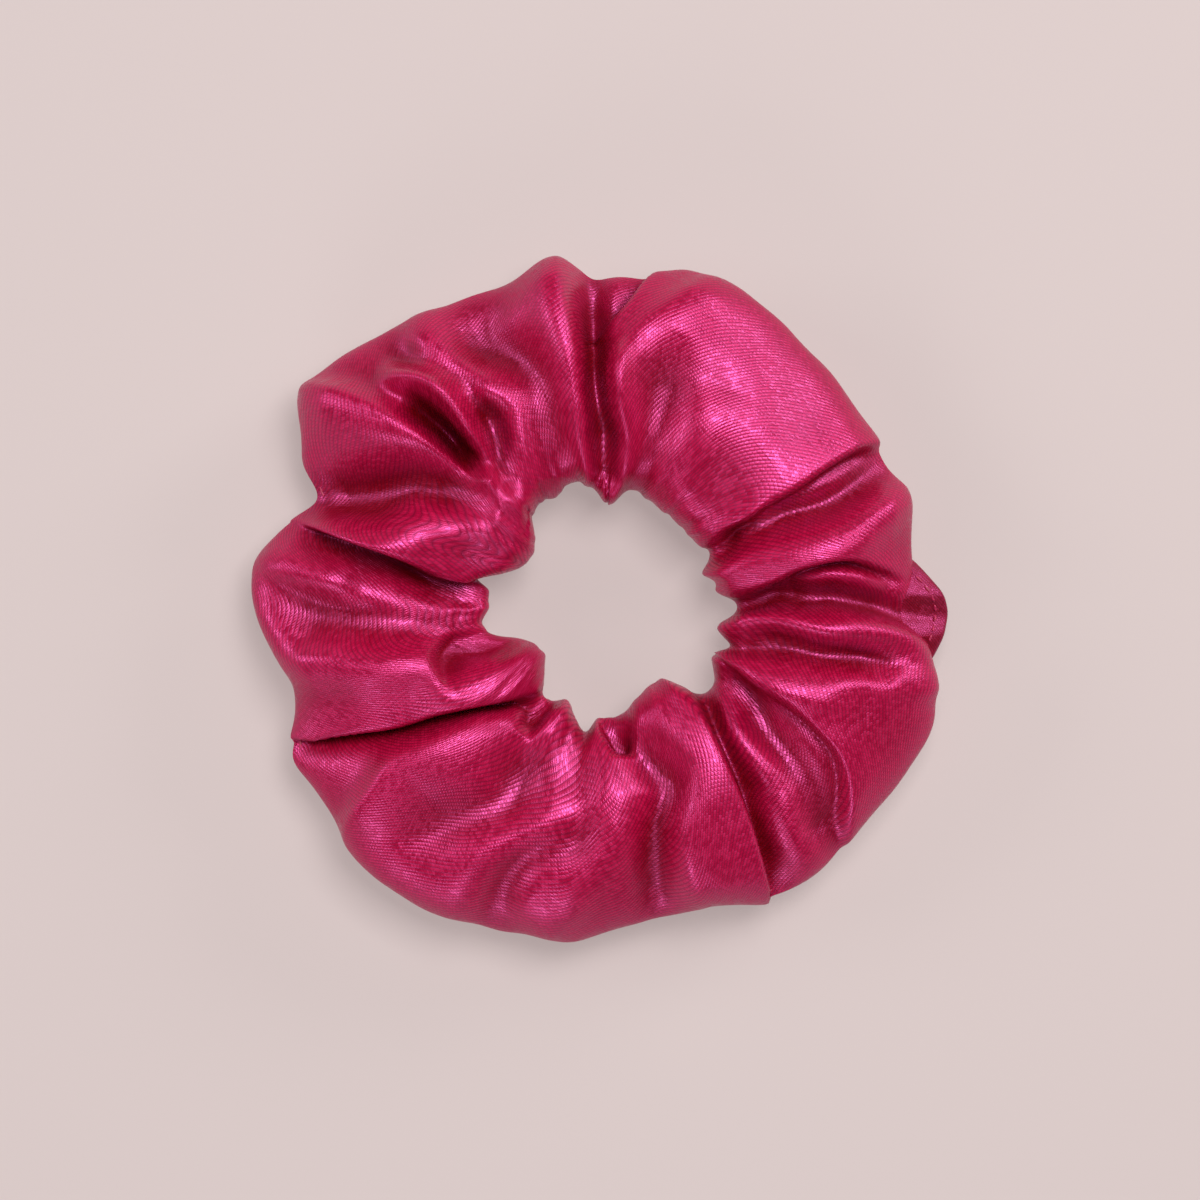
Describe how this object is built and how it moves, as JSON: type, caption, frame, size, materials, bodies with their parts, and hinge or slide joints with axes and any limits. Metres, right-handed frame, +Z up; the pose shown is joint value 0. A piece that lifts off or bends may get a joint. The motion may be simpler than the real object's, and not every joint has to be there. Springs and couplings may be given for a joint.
{
  "type": "hair scrunchie",
  "caption": "Satin scrunchie: a gathered magenta satin tube sewn into a ring round a hidden flat elastic band, which stretches open and springs back.",
  "frame": {"origin": "on the plane that the ring lies on, under the middle of the opening", "axes": "+Z up along the ring's axis, +X towards the stretch with the topstitched closing, which is also the way the ring is pulled open"},
  "size_m": [0.112, 0.11, 0.023],
  "materials": {
    "satin": "glossy woven satin",
    "elastic": "braided, matte",
    "elastic_thread": "matte thread",
    "thread": "slightly glossy thread"
  },
  "bodies": {
    "left": {"satin_gather_06": "satin", "satin_gather_07": "satin", "satin_gather_08": "satin", "elastic_band_06": "elastic", "elastic_band_07": "elastic", "elastic_band_08": "elastic", "long_seam_allowance_left": "satin", "long_seam_stitches_left": "thread"},
    "inner_left": {"satin_gather_05": "satin", "satin_gather_09": "satin", "elastic_band_05": "elastic", "elastic_band_09": "elastic", "long_seam_allowance_inner_left": "satin", "long_seam_stitches_inner_left": "thread"},
    "middle": {"satin_gather_04": "satin", "satin_gather_10": "satin", "elastic_band_04": "elastic", "elastic_band_10": "elastic", "long_seam_allowance_middle": "satin", "long_seam_stitches_middle": "thread"},
    "inner_right": {"satin_gather_03": "satin", "satin_gather_11": "satin", "elastic_band_03": "elastic", "elastic_band_11": "elastic", "long_seam_allowance_inner_right": "satin", "long_seam_stitches_inner_right": "thread"},
    "right": {"satin_gather_12": "satin", "satin_gather_01": "satin", "satin_gather_02": "satin", "elastic_band_12": "elastic", "elastic_band_01": "elastic", "elastic_band_02": "elastic", "long_seam_allowance_right": "satin", "long_seam_stitches_right": "thread", "elastic_lap": "elastic", "elastic_join_stitches": "elastic_thread", "cross_seam_fold": "satin", "cross_seam_stitches": "thread", "closing_ridge": "satin", "closing_ridge_stitches": "thread"}
  },
  "joints": [
    {"name": "stretch", "type": "slide", "parent": "left", "child": "inner_left", "axis": [1, 0, 0], "range_m": [0, 0.015], "stiffness_N_per_m": 400, "springref_m": -0.001},
    {"name": "stretch_inner_left", "type": "slide", "parent": "inner_left", "child": "middle", "axis": [1, 0, 0], "range_m": [0, 0.015], "stiffness_N_per_m": 400, "springref_m": -0.001},
    {"name": "stretch_inner_right", "type": "slide", "parent": "middle", "child": "inner_right", "axis": [1, 0, 0], "range_m": [0, 0.015], "stiffness_N_per_m": 400, "springref_m": -0.001},
    {"name": "stretch_right", "type": "slide", "parent": "inner_right", "child": "right", "axis": [1, 0, 0], "range_m": [0, 0.015], "stiffness_N_per_m": 400, "springref_m": -0.001}
  ],
  "couplings": [
    {"joint": "stretch_inner_left", "follows": "stretch", "ratio": 1},
    {"joint": "stretch_inner_right", "follows": "stretch", "ratio": 1},
    {"joint": "stretch_right", "follows": "stretch", "ratio": 1}
  ]
}
